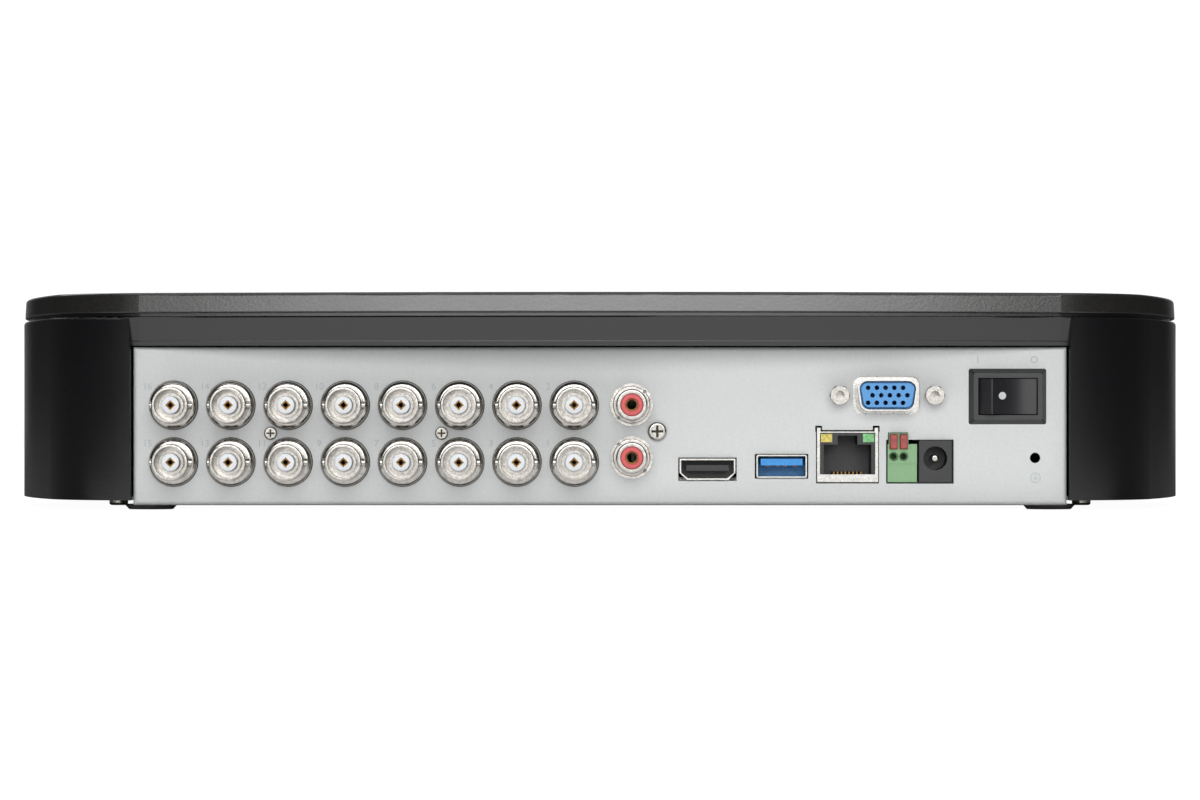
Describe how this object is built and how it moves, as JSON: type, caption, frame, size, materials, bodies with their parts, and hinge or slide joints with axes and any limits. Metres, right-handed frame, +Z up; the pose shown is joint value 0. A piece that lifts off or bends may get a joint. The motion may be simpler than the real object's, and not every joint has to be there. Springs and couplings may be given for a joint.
{
  "type": "dvr recorder",
  "caption": "Compact security video recorder with a bowed black casing and a light grey rear panel of video, audio, display, network, alarm and power connectors.",
  "frame": {"origin": "centre of the casing's plan, on the plane the four feet stand on", "axes": "+Z up, +Y out of the rear connector panel, -Y out of the display front, X along the width; seen from the rear +X is to the left"},
  "size_m": [0.3274, 0.2549, 0.0574],
  "materials": {
    "lid_plastic": "fine spark-eroded texture",
    "case_plastic": "fine satin texture",
    "fascia_gloss": "polished piano black",
    "window_smoke": "polished infrared-pass dark red",
    "light_pipe": "frosted clear",
    "panel_paint": "light grey powder coat",
    "nickel": "bright nickel plate over a die casting",
    "screw_nickel": "nickel plate",
    "dielectric": "off-white moulding",
    "gold": "gold plate",
    "black_moulding": "black moulding",
    "audio_red": "red moulding",
    "socket_steel": "tin-plated steel",
    "usb_blue": "blue moulding",
    "lamp_yellow": "tinted lamp lens",
    "lamp_green": "tinted lamp lens",
    "terminal_green": "green moulding",
    "lever_red": "red moulding",
    "vga_blue": "blue moulding",
    "switch_black": "satin black moulding",
    "board_green": "solder mask",
    "chip_black": "epoxy package",
    "aluminium": "extruded or cast, satin",
    "cover_steel": "stamped, satin",
    "platter_mirror": "polished",
    "lead_black": "soft sheath"
  },
  "bodies": {
    "case": {"audio_housing": "black_moulding", "audio_in_jack": "nickel", "audio_out_jack": "nickel", "bnc_contacts": "gold", "bnc_housings": "black_moulding", "bnc_insulators": "dielectric", "bnc_jacks_1": "nickel", "bnc_jacks_2": "nickel", "bnc_jacks_3": "nickel", "bnc_jacks_4": "nickel", "bnc_jacks_5": "nickel", "bnc_jacks_6": "nickel", "bnc_jacks_7": "nickel", "bnc_jacks_8": "nickel", "board_chips": "chip_black", "board_screws": "screw_nickel", "body_shell": "case_plastic", "casing_screws": "screw_nickel", "chassis": "panel_paint", "coin_cell": "cover_steel", "dc_jack": "black_moulding", "dc_pin": "nickel", "drive_base": "aluminium", "drive_board": "board_green", "drive_cover": "cover_steel", "drive_leads": "lead_black", "drive_screws": "screw_nickel", "fan_frame": "black_moulding", "front_board": "board_green", "front_fascia": "fascia_gloss", "front_usb_insert": "black_moulding", "front_usb_shell": "socket_steel", "hdmi_insert": "black_moulding", "hdmi_shell": "socket_steel", "heatsink": "aluminium", "ir_window": "window_smoke", "lan_insert": "black_moulding", "lan_lamp_left": "lamp_yellow", "lan_lamp_right": "lamp_green", "lan_shell": "socket_steel", "led_light_pipes": "light_pipe", "main_board": "board_green", "rca_contacts": "gold", "rca_insulators": "audio_red", "rear_panel_screws": "screw_nickel", "socket_contacts": "gold", "switch_frame": "switch_black", "terminal_block": "terminal_green", "top_cover": "lid_plastic", "usb_insert": "usb_blue", "usb_shell": "socket_steel", "vga_insert": "vga_blue", "vga_jackscrews": "screw_nickel", "vga_shell": "socket_steel"},
    "rocker": {"power_rocker": "switch_black"},
    "lever_1": {"terminal_lever_1": "lever_red"},
    "lever_2": {"terminal_lever_2": "lever_red"},
    "fan": {"fan_rotor": "black_moulding"},
    "platters": {"drive_platters": "platter_mirror"},
    "arm": {"drive_arm": "aluminium"}
  },
  "joints": [
    {"name": "rocker_tilt", "type": "hinge", "parent": "case", "child": "rocker", "pos_m": [-0.1075, 0.1109, 0.0301], "axis": [0, 0, -1], "range_deg": [0, 30]},
    {"name": "lever_1_push", "type": "slide", "parent": "case", "child": "lever_1", "axis": [0, -1, 0], "range_m": [0, 0.0012], "stiffness_N_per_m": 800, "springref_m": -0.0008},
    {"name": "lever_2_push", "type": "slide", "parent": "case", "child": "lever_2", "axis": [0, -1, 0], "range_m": [0, 0.0012], "stiffness_N_per_m": 800, "springref_m": -0.0008},
    {"name": "fan_spin", "type": "hinge", "parent": "case", "child": "fan", "pos_m": [-0.1456, 0, 0.0255], "axis": [1, 0, 0], "continuous": true},
    {"name": "platter_spin", "type": "hinge", "parent": "case", "child": "platters", "pos_m": [0.031, -0.058, 0.0185], "axis": [0, 0, 1], "continuous": true},
    {"name": "arm_swing", "type": "hinge", "parent": "case", "child": "arm", "pos_m": [-0.022, -0.078, 0.0185], "axis": [0, 0, -1], "range_deg": [0, 30]}
  ]
}
